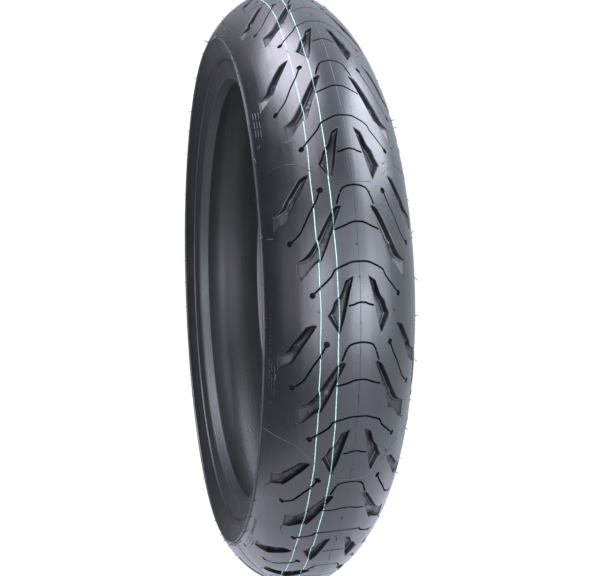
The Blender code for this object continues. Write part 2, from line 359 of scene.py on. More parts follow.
def short_blade_floor(p, sizes):
    share = np.interp(p[:, 0], (35, 38, 53.9, 57.4, 63.8), (0.8, 0.95, 0.95, 0.42, 0.07))
    bar = np.exp(-(((p[:, 1] - 61.5) / 1.5) ** 4)) * (p[:, 0] < 52)
    return sizes.groove_depth / MM * share * (1 - 0.28 * bar)


class Pitch:
    """One repeat of the pattern as points and triangles, laid out flat."""

    def __init__(self, sizes):
        self.sizes = sizes
        self.points, self.depths, self.groove_shade_and_matt = [], [], []
        self.faces, self.loops, self.count = [], [], 0

    def put(self, points, depth, groove_shade_and_matt):
        """Adds points at this depth and with this share of matt and painted groove shade, and says which
        index the first one has.
        """
        self.points.append(points)
        self.groove_shade_and_matt.append(np.full(len(points), float(groove_shade_and_matt)))
        self.depths.append(np.broadcast_to(depth, len(points)).astype(float))
        first = self.count
        self.count += len(points)
        return first

    def strip(self, upper, lower, count):
        """Joins two closed rows of points."""
        i = np.arange(count)
        j = (i + 1) % count
        quads = np.stack([lower + i, lower + j, upper + j, upper + i], 1)
        self.faces += [*quads[:, [0, 1, 2]], *quads[:, [0, 2, 3]]]

    def sink(self, outline, floor, floor_depth, wall, inner):
        """Walls from the outline down to the floor loop, and the floor, which uses the inner points."""
        area = np.sum(outline[:, 0] * np.roll(outline[:, 1], -1) - outline[:, 1] * np.roll(outline[:, 0], -1))
        if area > 0:
            outline, floor = outline[::-1], floor[::-1]
        count = len(outline)
        full = floor_depth(floor, self.sizes)
        self.loops.append((outline, self.count))
        above = None
        # Each row's last value sets both its matt and its painted shade.
        for share, down, matt in wall:
            start = self.put(outline + (floor - outline) * share, full * down, matt)
            if above is not None:
                self.strip(above, start, count)
            above = start
        inner = np.array(inner, float).reshape(-1, 2)
        if len(inner):
            inner = inner[inside(inner, floor) & ~near(inner, floor, 0.6)]
        # The floors get painted shade too: the slots' floors in full, the pockets' floors in part.
        floor_shade_and_matt = POCKET_FLOOR_SHADE_AND_MATT if wall is POCKET_WALL else 1.0
        extra = self.put(inner, floor_depth(inner, self.sizes), floor_shade_and_matt) if len(inner) else 0
        faces = filled([floor], inner)
        self.faces += list(np.where(faces < count, faces + above, faces - count + extra))

    def pocket(self, rows, floor_depth, side):
        """Sinks a wide groove, mirrored if side is -1."""
        both = along_curve(rows, 2.3)
        mirror = np.array([side, 1.0])
        low, high = both[:, 2:4].min(0), both[:, 2:4].max(0)
        grid = np.stack(
            np.meshgrid(np.arange(low[0], high[0], 1.9), np.arange(low[1], high[1], 2.1), indexing="ij"),
            -1,
        ).reshape(-1, 2)

        def depth(p, sizes):
            return floor_depth(p * mirror, sizes)

        self.sink(both[:, :2] * mirror, both[:, 2:4] * mirror, depth, POCKET_WALL, grid * mirror)

    def slot(self, path, start_pin, end_pin, depth):
        """Sinks a thin slot, with its pins."""
        smooth = along_curve([(*p, 0) for p in path], 2.6, closed=False)[:, :2]
        outline = slot_outline(smooth, self.sizes.slot_width / MM, start_pin, end_pin)
        pins = [(smooth[0], start_pin), (smooth[-1], end_pin)]

        def floor_depth(p, sizes):
            full = np.full(len(p), depth)
            for centre, radius in pins:
                if radius:
                    away = np.hypot(*(p - centre).T) / radius
                    full -= PIN_DOME * depth * np.clip(1 - away**2, 0, 1)
            return full

        inner = [
            centre + radius * share * np.array([math.cos(t), math.sin(t)])
            for centre, radius in pins
            if radius
            for share, turns in ((0.0, 1), (0.5, 6))
            for t in np.arange(turns) * 2 * math.pi / turns
        ]
        self.sink(outline, inset(outline, 0.2), floor_depth, SLOT_WALL, inner)

    def surface(self):
        """The top surface round all the grooves, between this pitch line and the next."""
        pitch = CROWN_LENGTH / self.sizes.pitches
        line = along_curve([(*p, 0) for p in PITCH_LINE], 4.2, closed=False)[:, :2]
        line = np.concatenate([line[:0:-1] * [-1, 1], line])
        steps = 12
        edge = np.arange(1, steps)[:, None] * np.array([0, pitch / steps])
        border = np.concatenate([line, line[-1] + edge, (line + [0, pitch])[::-1], line[0] + edge[::-1]])
        s, v = np.meshgrid(np.arange(-76, 76.5, 4.0), np.arange(-20, 135, 4.6), indexing="ij")
        v = v + np.where(np.round((s + 76) / 4) % 2 == 1, 2.3, 0)
        inner = np.stack([s, v], -1).reshape(-1, 2)
        inner = inner[inside(inner, border) & ~near(inner, border, 1.7)]
        for loop, _ in self.loops:
            inner = inner[~inside(inner, loop) & ~near(inner, loop, 1.3)]
        loops = [border, *(loop for loop, _ in self.loops)]
        faces = filled(loops, inner)
        flat = np.concatenate([*loops, inner])
        top = self.put(flat, 0.0, 0.0)
        self.faces += list(faces + top)
        at = top + len(border)
        for loop, lip in self.loops:
            self.strip(at, lip, len(loop))
            at += len(loop)


def slot_paths():
    """Every slot of one pitch: its path, its pins and its depth. Slots that cross the crown are one."""
    for (path, _, pin), depth in (
        (ARCH_SLOT, ARCH_SLOT_DEPTH),
        (SHORT_SLOT, SLOT_DEPTH),
        (BRIDGE_SLOT, SLOT_DEPTH),
        (LOW_SLOT, SLOT_DEPTH),
    ):
        left = [(-s, v) for s, v in path[:0:-1]]
        yield left + list(path), pin, pin, depth
    path, start, end = SIDE_SLOT
    yield path, start, end, SIDE_SLOT_DEPTH
    yield [(-s, v) for s, v in path], start, end, SIDE_SLOT_DEPTH


# Making objects


def new_object(name, mesh):
    made = bpy.data.objects.new(name, mesh)
    bpy.context.scene.collection.objects.link(made)
    return made


def new_mesh(name, points, faces=(), edges=()):
    mesh = bpy.data.meshes.new(name)
    mesh.from_pydata([tuple(p) for p in points], list(edges), [tuple(map(int, f)) for f in faces])
    mesh.update()
    return mesh


def baked(made, tree, settings):
    """The object with this tree's result as its plain mesh. Settings are given by input name."""
    modifier = made.modifiers.new(tree.name, "NODES")
    modifier.node_group = tree
    for item in tree.interface.items_tree:
        if item.item_type == "SOCKET" and item.in_out == "INPUT" and item.name in settings:
            modifier[item.identifier] = settings[item.name]
    bpy.context.view_layer.update()
    graph = bpy.context.evaluated_depsgraph_get()
    mesh = bpy.data.meshes.new_from_object(made.evaluated_get(graph))
    made.modifiers.remove(modifier)
    made.data = mesh
    mesh.name = made.name
    return made


def put_on(made, slot, *nodes):
    """The piece rides on the tyre and stands for these solids, which it hides. The slot is not used."""
    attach(made, "root")
    if nodes:
        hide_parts(*nodes)
    return made


def add(tree, kind, inputs=None, **settings):
    """Adds a node with its settings and its inputs, each a value or another node's output."""
    node = tree.nodes.new(kind)
    for key, value in settings.items():
        setattr(node, key, value)
    for key, value in (inputs or {}).items():
        if isinstance(value, bpy.types.NodeSocket):
            tree.links.new(value, node.inputs[key])
        else:
            node.inputs[key].default_value = value
    return node


def geometry_tree(name, sockets):
    """A new tree with a geometry input and output, and these named inputs."""
    tree = bpy.data.node_groups.new(name, "GeometryNodeTree")
    tree.interface.new_socket("Geometry", in_out="INPUT", socket_type="NodeSocketGeometry")
    for label, kind, value in sockets:
        made = tree.interface.new_socket(label, in_out="INPUT", socket_type=kind)
        if value is not None:
            made.default_value = value
    tree.interface.new_socket("Geometry", in_out="OUTPUT", socket_type="NodeSocketGeometry")
    return tree, tree.nodes.new("NodeGroupInput").outputs


def end_tree(tree, realised, material):
    """Ends a tree in Realize Instances and Set Material."""
    whole = add(tree, "GeometryNodeRealizeInstances", {"Geometry": realised})
    painted = add(tree, "GeometryNodeSetMaterial", {"Geometry": whole.outputs[0], "Material": material})
    add(tree, "NodeGroupOutput", {0: painted.outputs[0]})


def pitches_tree():
    """Copies one pitch round the wheel and joins the copies where they meet."""
    tree, given = geometry_tree(
        "Pitches round the wheel",
        [
            ("Pitches", "NodeSocketInt", 17),
            ("Phase", "NodeSocketFloat", 0.0),
            ("Material", "NodeSocketMaterial", None),
        ],
    )
    single = add(tree, "GeometryNodeGeometryToInstance", {0: given["Geometry"]})
    copies = add(
        tree,
        "GeometryNodeDuplicateElements",
        {"Geometry": single.outputs[0], "Amount": given["Pitches"]},
        domain="INSTANCE",
    )
    step = add(tree, "ShaderNodeMath", {0: 2 * math.pi, 1: given["Pitches"]}, operation="DIVIDE")
    turn = add(
        tree,
        "ShaderNodeMath",
        {0: copies.outputs["Duplicate Index"], 1: step.outputs[0], 2: given["Phase"]},
        operation="MULTIPLY_ADD",
    )
    angles = add(tree, "ShaderNodeCombineXYZ", {"Y": turn.outputs[0]})
    turned = add(
        tree,
        "GeometryNodeRotateInstances",
        {"Instances": copies.outputs["Geometry"], "Rotation": angles.outputs[0], "Local Space": False},
    )
    whole = add(tree, "GeometryNodeRealizeInstances", {"Geometry": turned.outputs[0]})
    welded = add(tree, "GeometryNodeMergeByDistance", {"Geometry": whole.outputs[0], "Distance": 0.00002})
    end_tree(tree, welded.outputs[0], given["Material"])
    return tree


def bead_tree():
    """Runs a raised round bead along every line of the mesh."""
    tree, given = geometry_tree(
        "Moulded bead",
        [
            ("Radius", "NodeSocketFloat", MARK_RADIUS),
            ("Sides", "NodeSocketInt", 6),
            ("Material", "NodeSocketMaterial", None),
        ],
    )
    curve = add(tree, "GeometryNodeMeshToCurve", {"Mesh": given["Geometry"]})
    section = add(
        tree,
        "GeometryNodeCurvePrimitiveCircle",
        {"Resolution": given["Sides"], "Radius": given["Radius"]},
    )
    swept = add(
        tree,
        "GeometryNodeCurveToMesh",
        {"Curve": curve.outputs[0], "Profile Curve": section.outputs[0], "Fill Caps": True},
    )
    end_tree(tree, swept.outputs[0], given["Material"])
    return tree


def hair_tree():
    """Stands a tapered vent hair on each point, along the point's direction and to its length."""
    tree, given = geometry_tree(
        "Vent hairs",
        [
            ("Root radius", "NodeSocketFloat", 0.0004),
            ("Tip radius", "NodeSocketFloat", 0.0002),
            ("Material", "NodeSocketMaterial", None),
        ],
    )
    hair = add(
        tree,
        "GeometryNodeMeshCone",
        {
            "Vertices": 6,
            "Side Segments": 3,
            "Radius Top": given["Tip radius"],
            "Radius Bottom": given["Root radius"],
            "Depth": 1.0,
        },
    )
    towards = add(tree, "GeometryNodeInputNamedAttribute", {"Name": "direction"}, data_type="FLOAT_VECTOR")
    length = add(tree, "GeometryNodeInputNamedAttribute", {"Name": "length"}, data_type="FLOAT")
    aligned = add(tree, "FunctionNodeAlignRotationToVector", {"Vector": towards.outputs[0]}, axis="Z")
    scale = add(tree, "ShaderNodeCombineXYZ", {"X": 1.0, "Y": 1.0, "Z": length.outputs[0]})
    stood = add(
        tree,
        "GeometryNodeInstanceOnPoints",
        {
            "Points": given["Geometry"],
            "Instance": hair.outputs["Mesh"],
            "Rotation": aligned.outputs[0],
            "Scale": scale.outputs[0],
        },
    )
    end_tree(tree, stood.outputs[0], given["Material"])
    return tree


# Turned rings


def turned(name, section, material):
    """Sweeps a closed (radius, half width) section in mm round the spin axis, in fine steps."""
    section = np.array(section, float)
    nxt = np.roll(section, -1, 0)
    if np.sum(section[:, 0] * nxt[:, 1] - section[:, 1] * nxt[:, 0]) > 0:
        section = section[::-1]
    count = len(section)
    turns = np.arange(RING_STEPS) * 2 * math.pi / RING_STEPS
    radius, y = section.T * MM
    points = np.stack(
        [
            radius[None] * np.cos(turns)[:, None],
            np.broadcast_to(y, (RING_STEPS, count)),
            -radius[None] * np.sin(turns)[:, None],
        ],
        -1,
    ).reshape(-1, 3)
    step, i = np.meshgrid(np.arange(RING_STEPS), np.arange(count), indexing="ij")
    ahead, j = (step + 1) % RING_STEPS * count, (i + 1) % count
    here = step * count
    faces = np.stack([here + i, ahead + i, ahead + j, here + j], -1).reshape(-1, 4)
    mesh = new_mesh(name, points, faces)
    mesh.materials.append(material)
    mesh.polygons.foreach_set("use_smooth", np.ones(len(faces), bool))
    mesh.set_sharp_from_angle(angle=math.radians(40))
    return new_object(name, mesh)


def node_section(node):
    """A solid's own (radius, half width) section in mm, read half way along one of its facets."""
    half_step = math.pi / CAD_FACETS
    bm = bmesh.new()
    bm.from_mesh(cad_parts[node].data)
    bmesh.ops.remove_doubles(bm, verts=bm.verts, dist=1e-6)
    across = Vector((math.sin(half_step), 0, math.cos(half_step)))
    cut = bmesh.ops.bisect_plane(
        bm, geom=bm.verts[:] + bm.edges[:] + bm.faces[:], plane_co=(0, 0, 0), plane_no=across, dist=1e-7
    )["geom_cut"]
    edges = [e for e in cut if isinstance(e, bmesh.types.BMEdge) and e.verts[0].co.x > 0]
    edge = min(edges, key=lambda e: tuple(e.verts[0].co))
    edges.remove(edge)
    start, vert = edge.verts
    loop = [start]
    while vert is not start:
        loop.append(vert)
        edge = next(e for e in vert.link_edges if e in edges)
        edges.remove(edge)
        vert = edge.other_vert(vert)
    points = np.array([(math.hypot(v.co.x, v.co.z) / math.cos(half_step), v.co.y) for v in loop]) / MM
    bm.free()
    before, after = points - np.roll(points, 1, 0), np.roll(points, -1, 0) - points
    sine = np.cross(before, after) / (np.hypot(*before.T) * np.hypot(*after.T) + 1e-12)
    return points[np.abs(sine) > 0.002]


def rounded(corners, step=0.35):
    """A line through (radius, half width, fillet) corners, each rounded to its fillet."""
    corners = [np.array(c, float) for c in corners]
    found = [corners[0][:2]]
    for before, here, after in zip(corners, corners[1:], corners[2:]):
        back, on = before[:2] - here[:2], after[:2] - here[:2]
        back_length, on_length = math.hypot(*back), math.hypot(*on)
        back, on = back / back_length, on / on_length
        angle = math.acos(max(-1.0, min(1.0, float(back @ on))))
        if here[2] <= 0 or angle > 3.1:
            found.append(here[:2])
            continue
        reach = min(here[2] / math.tan(angle / 2), back_length * 0.49, on_length * 0.49)
        fillet = reach * math.tan(angle / 2)
        middle = back + on
        centre = here[:2] + middle / math.hypot(*middle) * fillet / math.sin(angle / 2)
        start, end = here[:2] + back * reach - centre, here[:2] + on * reach - centre
        sweep = math.atan2(start[0] * end[1] - start[1] * end[0], start @ end)
        steps = max(2, math.ceil(abs(sweep) * fillet / step))
        for i in range(steps + 1):
            cos, sin = math.cos(sweep * i / steps), math.sin(sweep * i / steps)
            arm = np.array([start[0] * cos - start[1] * sin, start[0] * sin + start[1] * cos])
            found.append(centre + arm)
    found.append(corners[-1][:2])
    return found


# Finishes


def linear(colour):
    """An sRGB hex colour as linear values."""
    values = [int(colour[i : i + 2], 16) / 255 for i in (1, 3, 5)]
    return tuple(v / 12.92 if v <= 0.04045 else ((v + 0.055) / 1.055) ** 2.4 for v in values)


def finish(name, colour, roughness, **settings):
    """A material with its tree, shader and object coordinates in millimetres."""
    made = bpy.data.materials.new(name)
    made.use_nodes = True
    tree = made.node_tree
    shader = tree.nodes["Principled BSDF"]
    shader.inputs["Base Color"].default_value = (*linear(colour), 1)
    shader.inputs["Roughness"].default_value = roughness
    for key, value in settings.items():
        shader.inputs[key.replace("_", " ")].default_value = value
    place = add(tree, "ShaderNodeTexCoord")
    in_mm = add(tree, "ShaderNodeMapping", {"Vector": place.outputs["Object"], "Scale": (1000, 1000, 1000)})
    return made, tree, shader, in_mm.outputs[0]


def moulded_rubber(name, dark, light, roughness):
    """Carbon and silica filled rubber, cured in a turned steel mould: a satin skin with a soft
    sheen, faint flow clouds 30 mm wide, turning streaks 4 mm wide along the running direction and
    a grain of 1 mm, which is coarser than the real one so that it shows. In the grooves, where the
    attribute for groove shade nears 1, the rubber is rougher and less shiny, and its colour is
    darkened towards near black as painted shade."""
    made, tree, shader, where = finish(name, dark, roughness, IOR=1.6)
    groove_shade_and_matt = add(tree, "ShaderNodeAttribute", attribute_name="groove_shade_and_matt").outputs["Fac"]
    clouds = add(
        tree, "ShaderNodeTexNoise", {"Vector": where, "Scale": 0.035, "Detail": 4.0, "Roughness": 0.6}
    )
    tint = add(
        tree,
        "ShaderNodeMix",
        {0: clouds.outputs[0], 6: (*linear(dark), 1), 7: (*linear(light), 1)},
        data_type="RGBA",
    )
    # Painted shade: where the groove attribute nears 1, the colour goes towards near black.
    deep = add(
        tree,
        "ShaderNodeMix",
        {0: groove_shade_and_matt, 6: tint.outputs[2], 7: (*linear("#060607"), 1)},
        data_type="RGBA",
    )
    tree.links.new(deep.outputs[2], shader.inputs["Base Color"])
    gloss = add(
        tree,
        "ShaderNodeMapRange",
        {
            "Value": clouds.outputs[0],
            "From Min": 0.3,
            "From Max": 0.7,
            "To Min": roughness - 0.05,
            "To Max": roughness + 0.06,
        },
    )
    matt = add(tree, "ShaderNodeMath", {0: groove_shade_and_matt, 1: 0.25, 2: gloss.outputs[0]}, operation="MULTIPLY_ADD")
    tree.links.new(matt.outputs[0], shader.inputs["Roughness"])
    shine = add(tree, "ShaderNodeMapRange", {"Value": groove_shade_and_matt, "To Min": 0.5, "To Max": 0.13})
    tree.links.new(shine.outputs[0], shader.inputs["Specular IOR Level"])
    fine = add(tree, "ShaderNodeTexNoise", {"Vector": where, "Scale": 1.1, "Detail": 3.0})
    drawn = add(tree, "ShaderNodeMapping", {"Vector": where, "Scale": (0.03, 1, 0.03)})
    streaks = add(tree, "ShaderNodeTexNoise", {"Vector": drawn.outputs[0], "Scale": 0.22, "Detail": 3.0})
    height = add(
        tree,
        "ShaderNodeMath",
        {0: streaks.outputs[0], 1: 3.0, 2: fine.outputs[0]},
        operation="MULTIPLY_ADD",
    )
    bump = add(tree, "ShaderNodeBump", {"Height": height.outputs[0], "Strength": 1.0, "Distance": 0.05 * MM})
    tree.links.new(bump.outputs[0], shader.inputs["Normal"])
    return made


def corded(name, colour, between, roughness, spacing, **settings):
    """Parallel cords under a skin of rubber: low ribs at the cord's own spacing in mm. A wave
    texture of scale 1 has its bands 0.314 apart."""
    made, tree, shader, where = finish(name, colour, roughness, **settings)
    ribs = add(
        tree,
        "ShaderNodeTexWave",
        {"Vector": where, "Scale": 0.314 / spacing},
        wave_type="BANDS",
        bands_direction="Y",
    )
    tint = add(
        tree,
        "ShaderNodeMix",
        {0: ribs.outputs["Fac"], 6: (*linear(between), 1), 7: (*linear(colour), 1)},
        data_type="RGBA",
    )
    tree.links.new(tint.outputs[2], shader.inputs["Base Color"])
    bump = add(tree, "ShaderNodeBump", {"Height": ribs.outputs["Fac"], "Strength": 1.0, "Distance": 0.2 * MM})
    tree.links.new(bump.outputs[0], shader.inputs["Normal"])
    return made


def liner_rubber():
    """Halobutyl liner rubber, cured against a rubber bladder: greyer than the outside, with the
    bladder's leathery grain of 2 to 3 mm printed in it."""
    made, tree, shader, where = finish("liner_rubber_cured_on_bladder", "#2a2c2e", 0.42, IOR=1.55)
    grain = add(tree, "ShaderNodeTexVoronoi", {"Vector": where, "Scale": 0.42})
    clouds = add(tree, "ShaderNodeTexNoise", {"Vector": where, "Scale": 0.03, "Detail": 3.0})
    tint = add(
        tree,
        "ShaderNodeMix",
        {0: clouds.outputs[0], 6: (*linear("#1b1c1d"), 1), 7: (*linear("#2d2e2d"), 1)},
        data_type="RGBA",
    )
    tree.links.new(tint.outputs[2], shader.inputs["Base Color"])
    bump = add(tree, "ShaderNodeBump", {"Height": grain.outputs[0], "Strength": 1.0, "Distance": 0.16 * MM})
    tree.links.new(bump.outputs[0], shader.inputs["Normal"])
    return made


def marking_paint(colour):
    """Thin marking paint, rolled on before curing: matt, with rubber showing through worn spots."""
    made, tree, shader, where = finish("rolled_marking_paint", "#9fd8d0", 0.6)
    specks = add(
        tree, "ShaderNodeTexNoise", {"Vector": where, "Scale": 0.55, "Detail": 5.0, "Roughness": 0.7}
    )
    worn = add(
        tree,
        "ShaderNodeMapRange",
        {"Value": specks.outputs[0], "From Min": 0.36, "From Max": 0.5, "To Min": 0.45, "To Max": 1.0},
    )
    tint = add(
        tree,
        "ShaderNodeMix",
        {0: worn.outputs[0], 6: (*linear("#38504e"), 1), 7: (*colour, 1)},
        data_type="RGBA",
    )
    tree.links.new(tint.outputs[2], shader.inputs["Base Color"])
    return made


FINISHES = {}


def finishes():
    """Every material, made once and kept by a short name."""
    if not FINISHES:
        looks = bpy.context.scene.tyre_looks
        FINISHES.update(
            tread=moulded_rubber("moulded_silica_tread_rubber", "#0e0e11", "#131317", 0.30),
            wall=moulded_rubber("moulded_side_wall_rubber", "#0e0e11", "#131317", 0.40),
            chafer=moulded_rubber("moulded_chafer_rubber", "#09090d", "#0e0e13", 0.46),
            filler=moulded_rubber("extruded_filler_rubber", "#2a2926", "#32302d", 0.55),
            base=moulded_rubber("calendered_base_rubber", "#242424", "#2a2a2a", 0.6),
            liner=liner_rubber(),
            belt=corded(
                "brass_coated_steel_cord_in_rubber", "#7d6a45", "#1c1a18", 0.45, 1.1, Metallic=0.4
            ),
            ply=corded("textile_cord_in_rubber", "#6b4630", "#1c1614", 0.75, 0.9),
            core=corded("bronzed_bead_wire", "#9a7a4a", "#3a2c1c", 0.35, 1.0, Metallic=1.0),
            paint=marking_paint(looks.marking_colour),
        )
    return FINISHES


# Pieces


def build_tread(sizes):
    """Lays out one pitch flat, wraps it on the tyre, repeats it round the wheel and closes it."""
    pitch = Pitch(sizes)
    for side in (1, -1):
        pitch.pocket(DIAMOND, diamond_floor, side)
        pitch.pocket(LONG_BLADE, long_blade_floor, side)
        pitch.pocket(SHORT_BLADE, short_blade_floor, side)
    for path, start, end, depth in slot_paths():
        pitch.slot(path, start, end, depth)
    pitch.surface()
    flat, depth = np.concatenate(pitch.points), np.concatenate(pitch.depths)
    points = on_tyre(flat[:, 0], flat[:, 1], depth)
    faces = np.array(pitch.faces)[:, ::-1]
    mesh = new_mesh("tread", points, faces)
    mesh.attributes.new("groove_shade_and_matt", "FLOAT", "POINT").data.foreach_set("value", np.concatenate(pitch.groove_shade_and_matt))
    made = new_object("tread", mesh)
    baked(
        made,
        pitches_tree(),
        {"Pitches": sizes.pitches, "Phase": PITCH_PHASE, "Material": finishes()["tread"]},
    )
    close_under(made, sizes)
    smooth_as_moulded(made.data)
    return made


def close_under(made, sizes):
    """Closes the tread into one solid: down from each edge and across underneath."""
    bm = bmesh.new()
    bm.from_mesh(made.data)
    rings = []
    edges = [e for e in bm.edges if e.is_boundary]
    for side in (1, -1):
        verts = {v for e in edges for v in e.verts if v.co.y * side > 0}
        rings.append(sorted(verts, key=lambda v: math.atan2(v.co.z, v.co.x)))
    count = len(rings[0])
    if len(rings[1]) != count:
        raise RuntimeError("the tread's two edges don't match")
    stations = np.concatenate([[TREAD_EDGE], np.linspace(76, -76, 33), [-TREAD_EDGE]])
    thick = np.interp(np.abs(stations), (65.0, TREAD_EDGE), (TREAD_THICKNESS, WALL_THICKNESS))
    angles = [math.atan2(v.co.z, v.co.x) for v in rings[0]]
    under = []
    for across, deep in zip(stations, thick):
        along = -np.array(angles) * OUTER_RADIUS / MM
        under.append([bm.verts.new(p) for p in on_tyre(np.full(count, across), along, deep)])
    rows = [rings[0], *under, rings[1]]
    for upper, lower in zip(rows, rows[1:]):
        for i in range(count):
            j = (i + 1) % count
            bm.faces.new((upper[i], upper[j], lower[j], lower[i]))
    bmesh.ops.recalc_face_normals(bm, faces=bm.faces[:])
    bm.to_mesh(made.data)
    bm.free()


def smooth_as_moulded(mesh):
    """Exact normals where the tread is unbroken, and averaged ones in the grooves."""
    count = len(mesh.vertices)
    points = np.empty(count * 3)
    mesh.vertices.foreach_get("co", points)
    points = points.reshape(-1, 3)
    mesh.polygons.foreach_set("use_smooth", np.ones(len(mesh.polygons), bool))
    normals = np.empty(count * 3)
    mesh.vertex_normals.foreach_get("vector", normals)
    normals = normals.reshape(-1, 3)
    radius = np.hypot(points[:, 0], points[:, 2]) / MM
    reach = np.linspace(0, TREAD_EDGE, 4000)
    half_widths, _, _ = section_at(reach)
    across = np.interp(np.abs(points[:, 1]) / MM, half_widths, reach)
    _, skin_radius, slope = section_at(across)
    skin = np.abs((radius - skin_radius) * np.cos(slope)) < 0.004
    angle = np.arctan2(points[:, 2], points[:, 0])
    exact = np.stack(
        [
            np.cos(slope) * np.cos(angle),
            np.sign(points[:, 1]) * np.sin(slope),
            np.cos(slope) * np.sin(angle),
        ],
        1,
    )
    normals[skin] = exact[skin]
    mesh.normals_split_custom_set_from_vertices([tuple(n) for n in normals])


def build_stripe(name, across, sway, tread, sizes):
    """A painted line that follows the tread down into its grooves, found by rays from outside."""
    bm = bmesh.new()
    bm.from_mesh(tread.data)
    skin = BVHTree.FromBMesh(bm)
    bm.free()
    clear, paint, sunk_in = 3.0, 0.07, 0.2
    count = 3400
    along = np.arange(count) * CROWN_LENGTH / count
    turn = along / CROWN_LENGTH * 2 * math.pi
    waves = 0.6 * np.sin(5 * turn + 0.4) + 0.4 * np.sin(13 * turn + 1.7) + 0.15 * np.sin(47 * turn)
    middle = across + sway * waves
    half = sizes.marking_width / MM / 2
    rows = []
    for offset in (-half, 0.0, half):
        s = middle + offset
        reach = []
        for p, out in zip(on_tyre(s, along, -clear), normal_at(s, along)):
            _, _, _, distance = skin.ray_cast(Vector(p), -Vector(out), 0.02)
            reach.append(clear if distance is None else distance / MM)
        rows.append(on_tyre(s, along, np.array(reach) - clear - paint))
    below = [row - normal_at(middle, along) * sunk_in * MM for row in rows]
    points = np.concatenate([*rows, *below[::-1]])
    loops = len(rows) * 2
    faces = []
    i = np.arange(count)
    j = (i + 1) % count
    for k in range(loops):
        a, b = k * count, (k + 1) % loops * count
        faces.append(np.stack([a + i, a + j, b + j, b + i], 1))
    mesh = new_mesh(name, points, np.concatenate(faces))
    mesh.materials.append(finishes()["paint"])
    mesh.polygons.foreach_set("use_smooth", np.ones(len(mesh.polygons), bool))
    made = new_object(name, mesh)
    face_out(mesh)
    mesh.set_sharp_from_angle(angle=math.radians(50))
    return made


def face_out(mesh):
    """Points every face of a closed mesh outwards."""
    bm = bmesh.new()
    bm.from_mesh(mesh)
    bmesh.ops.recalc_face_normals(bm, faces=bm.faces[:])
    bm.to_mesh(mesh)
    bm.free()


# The fine rings on the side wall, as (radius, half their width)
WALL_RINGS = ((249.6, 0.3), (241.8, 0.45), (239.4, 0.3))
RING_HEIGHT = 0.28


def wall_section(sizes):
    """The side wall outside, from the groove and ridge where the mould parts, down past three fine
    rings, and back up inside."""
    across = np.arange(TREAD_EDGE, 79.5, 0.12)
    y, radius, slope = section_at(across)
    high = sizes.parting_ridge / MM
    outer = [(254.07, 58.83), (253.95, 58.25), (253.72, 58.3), (253.62, 58.86 + 0.8 * high)]
    outer += [(253.3, 58.86 + high), (252.75, 58.86 + high), (252.35, 58.86 + 0.75 * high), (252.05, 58.95)]
    outer = rounded([(r, w, 0.22) for r, w in outer], 0.15)
    for r in np.arange(251.8, CHAFER_TOP, -0.3):
        high_ring = sum(RING_HEIGHT * math.exp(-(((r - at) / wide) ** 4)) for at, wide in WALL_RINGS)
        outer.append((r, float(lower_wall(r)) + high_ring))
    outer.append((CHAFER_TOP, float(lower_wall(CHAFER_TOP))))
    thick = WALL_THICKNESS
    inner = [(r - thick * math.cos(a), w - thick * math.sin(a)) for r, w, a in zip(radius, y, slope)][::3]
    inner += [(r, float(lower_wall(r)) - thick) for r in [*np.arange(252.0, CHAFER_TOP, -2.0), CHAFER_TOP]]
    return outer + inner[::-1]


def chafer_section():
    """The bead's hard rubber: rim line and its groove, flange face, round heel, ribbed seat, toe,
    and the wrap inside."""
    outer = [(r, float(lower_wall(r)), 0) for r in (CHAFER_TOP, 236.8, 236.2, 235.9)]
    outer += [
        (235.7, 50.1, 0.25),
        (235.1, 50.0, 0.25),
        (234.7, 48.0, 0.3),
        (233.5, 47.5, 0.5),
        (232.7, 48.8, 0.4),
        (222.0, 46.3, 4.0),
        (218.2, 45.9, 2.6),
        (216.3, 43.2, 3.0),
        (216.1, 41.6, 0.6),
        (216.45, 40.9, 0.5),
        (215.95, 40.0, 0.6),
        (216.3, 39.2, 0.5),
        (215.8, 38.3, 0.6),
        (216.15, 37.5, 0.5),
        (215.65, 36.6, 0.6),
        (215.95, 35.8, 0.5),
        (215.5, 34.6, 0.4),
        (215.45, 33.2, 0.5),
        (216.4, 32.9, 0.4),
        (217.6, 33.5, 0.5),
        (218.6, 33.3, 0.5),
        (219.8, 33.9, 0.5),
        (220.9, 33.8, 0.5),
        (222.4, 34.5, 0),
    ]
    line = rounded(outer, 0.3)
    inner = [(222.3, 35.3), (220.9, 35.4), (218.9, 36.4), (218.0, 38.8), (218.9, 41.2), (221.0, 42.6)]
    inner += [(r, float(lower_wall(r)) - WALL_THICKNESS) for r in (222.0, 228.0, RIM_LINE[0], CHAFER_TOP)]
    return line + inner


def mirror(section):
    return [(r, -y) for r, y in section]


# Where air leaves the mould in each pitch, as (across, along): on both halves, and near the crown
VENTS = ((46.5, 14.5), (65.2, 86.5), (76.4, 12.0), (76.4, 47.0), (77.2, 83.0), (30.0, 36.0), (10.5, 62.0))
CENTRE_VENTS = ((-0.7, 9.0), (-0.7, 43.0), (-0.7, 98.0))


def pitch_start(k, sizes):
    """Where this pitch begins, along the crown."""
    return PITCH_PHASE * OUTER_RADIUS / MM + k * (CROWN_LENGTH / sizes.pitches)


